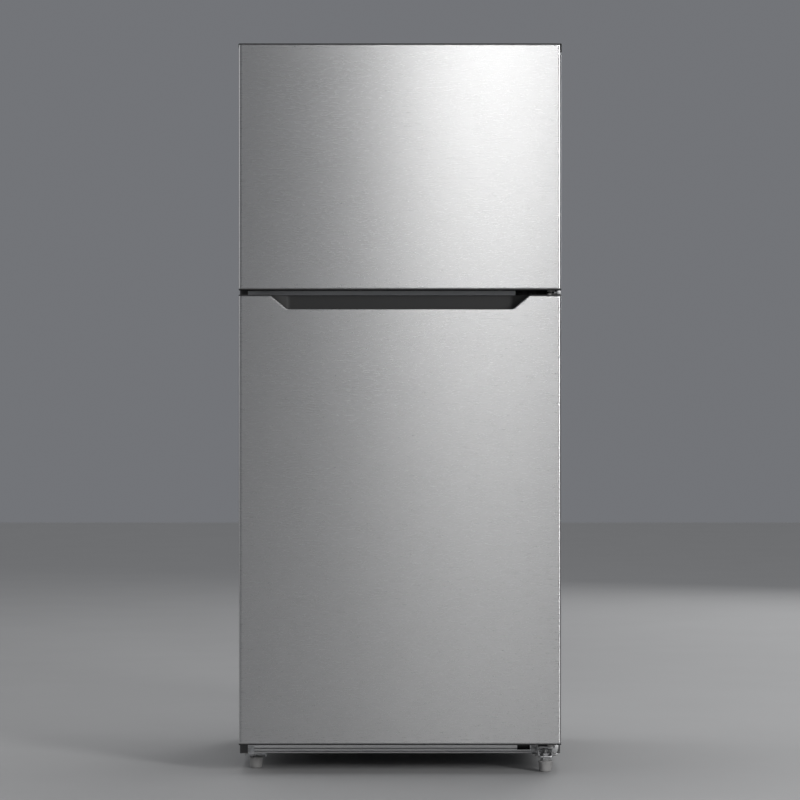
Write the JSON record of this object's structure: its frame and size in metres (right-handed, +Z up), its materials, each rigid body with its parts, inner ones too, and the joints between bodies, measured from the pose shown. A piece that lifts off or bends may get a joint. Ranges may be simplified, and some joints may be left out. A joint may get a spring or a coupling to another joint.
{
  "type": "top freezer refrigerator",
  "caption": "Upright refrigerator with a small freezer door above a tall fridge door, a sloped finger pocket between them, shelves, bins and drawers inside, feet and rollers.",
  "frame": {"origin": "on the floor, under the middle of the whole refrigerator's width and depth", "axes": "+Z is up, the doors face -Y, +X is the right hand of someone facing the doors"},
  "size_m": [0.752, 0.765, 1.706],
  "materials": {
    "stainless": "stainless sheet with a fine level grain and a clear coat",
    "cabinet_grey": "dark grey paint, satin",
    "rail_grey": "grey paint, satin",
    "galvanised": "galvanised sheet",
    "zinc": "bright zinc plate",
    "hinge_black": "black paint, satin",
    "cap_grey": "dark grey moulding, satin",
    "foam": "blown foam",
    "liner_white": "white vacuum formed sheet, gloss",
    "gasket_grey": "soft grey vinyl",
    "nylon": "natural nylon",
    "clear_plastic": "clear moulding, gloss",
    "shelf_glass": "toughened glass with ground edges",
    "lens": "milky lamp lens",
    "dial_grey": "grey moulding",
    "foot_grey": "grey moulding",
    "roller_black": "black nylon",
    "shell_black": "black enamel",
    "grommet_black": "soft black rubber",
    "fin_aluminium": "mill finish",
    "copper": "drawn copper tube",
    "fan_grey": "grey moulding"
  },
  "bodies": {
    "cabinet": {"cabinet_wrapper": "cabinet_grey", "mullion_rail": "rail_grey", "bottom_rail": "rail_grey", "back_panel": "galvanised", "base_deck": "galvanised", "compressor_tray": "galvanised", "left_foot_bracket": "galvanised", "roller_forks": "galvanised", "bottom_hinge": "zinc", "hinge_screws": "zinc", "roller_axles": "zinc", "middle_hinge": "hinge_black", "top_hinge": "hinge_black", "top_hinge_cover": "cap_grey", "cabinet_foam": "foam", "freezer_liner": "liner_white", "fridge_liner": "liner_white", "freezer_back_cover": "liner_white", "fridge_air_duct": "liner_white", "control_box": "liner_white", "shelf_frames": "liner_white", "crisper_cover": "liner_white", "shelf_glass": "shelf_glass", "light_lens": "lens", "cord_gland": "roller_black", "drain_pan": "roller_black", "compressor": "shell_black", "condenser_coil": "shell_black", "machine_cover": "shell_black", "compressor_grommets": "grommet_black", "evaporator_coil": "fin_aluminium", "refrigerant_lines": "copper", "condenser_fan_motor": "fan_grey", "evaporator_fan_motor": "fan_grey"},
    "freezer_door": {"freezer_door_skin": "stainless", "freezer_door_top_cap": "cap_grey", "freezer_door_bottom_cap": "cap_grey", "freezer_door_foam": "foam", "freezer_door_liner": "liner_white", "freezer_door_gasket": "gasket_grey", "freezer_door_bushes": "nylon", "freezer_door_bins": "clear_plastic"},
    "fridge_door": {"fridge_door_skin": "stainless", "fridge_door_top_cap": "cap_grey", "fridge_door_bottom_cap": "cap_grey", "fridge_door_foam": "foam", "fridge_door_liner": "liner_white", "fridge_door_gasket": "gasket_grey", "fridge_door_bushes": "nylon", "fridge_door_bins": "clear_plastic"},
    "temperature_dial_body": {"temperature_dial": "dial_grey"},
    "freezer_dial_body": {"freezer_dial": "dial_grey"},
    "crisper_drawer_left_body": {"crisper_drawer_left": "clear_plastic"},
    "crisper_drawer_right_body": {"crisper_drawer_right": "clear_plastic"},
    "front_foot_left_body": {"front_foot_left": "foot_grey"},
    "front_foot_right_body": {"front_foot_right": "foot_grey"},
    "rear_roller_left_body": {"rear_roller_left": "roller_black"},
    "rear_roller_right_body": {"rear_roller_right": "roller_black"},
    "condenser_fan_body": {"condenser_fan": "fan_grey"},
    "evaporator_fan_body": {"evaporator_fan": "fan_grey"}
  },
  "joints": [
    {"name": "freezer_door_hinge", "type": "hinge", "parent": "cabinet", "child": "freezer_door", "pos_m": [0.352, -0.3525, 1.4117], "axis": [0, 0, 1], "range_deg": [0, 110]},
    {"name": "fridge_door_hinge", "type": "hinge", "parent": "cabinet", "child": "fridge_door", "pos_m": [0.352, -0.3525, 0.591], "axis": [0, 0, 1], "range_deg": [0, 110]},
    {"name": "crisper_slide_left", "type": "slide", "parent": "cabinet", "child": "crisper_drawer_left_body", "axis": [0, -1, 0], "range_m": [0, 0.035]},
    {"name": "crisper_slide_right", "type": "slide", "parent": "cabinet", "child": "crisper_drawer_right_body", "axis": [0, -1, 0], "range_m": [0, 0.035]},
    {"name": "temperature_dial_turn", "type": "hinge", "parent": "cabinet", "child": "temperature_dial_body", "pos_m": [-0.085, -0.1195, 1.0627], "axis": [0, 1, 0], "range_deg": [-130, 130]},
    {"name": "freezer_dial_turn", "type": "hinge", "parent": "cabinet", "child": "freezer_dial_body", "pos_m": [0.234, 0.2193, 1.57], "axis": [0, 1, 0], "range_deg": [-90, 90]},
    {"name": "condenser_fan_spin", "type": "hinge", "parent": "cabinet", "child": "condenser_fan_body", "pos_m": [-0.09, 0.2675, 0.165], "axis": [1, 0, 0], "continuous": true},
    {"name": "evaporator_fan_spin", "type": "hinge", "parent": "cabinet", "child": "evaporator_fan_body", "pos_m": [0, 0.2323, 1.498], "axis": [0, 1, 0], "continuous": true},
    {"name": "rear_roller_left_spin", "type": "hinge", "parent": "cabinet", "child": "rear_roller_left_body", "pos_m": [-0.33, 0.3225, 0.019], "axis": [1, 0, 0], "continuous": true},
    {"name": "rear_roller_right_spin", "type": "hinge", "parent": "cabinet", "child": "rear_roller_right_body", "pos_m": [0.33, 0.3225, 0.019], "axis": [1, 0, 0], "continuous": true},
    {"name": "front_foot_left_screw", "type": "slide", "parent": "cabinet", "child": "front_foot_left_body", "axis": [0, 0, -1], "range_m": [0, 0.012]},
    {"name": "front_foot_right_screw", "type": "slide", "parent": "cabinet", "child": "front_foot_right_body", "axis": [0, 0, -1], "range_m": [0, 0.012]}
  ]
}
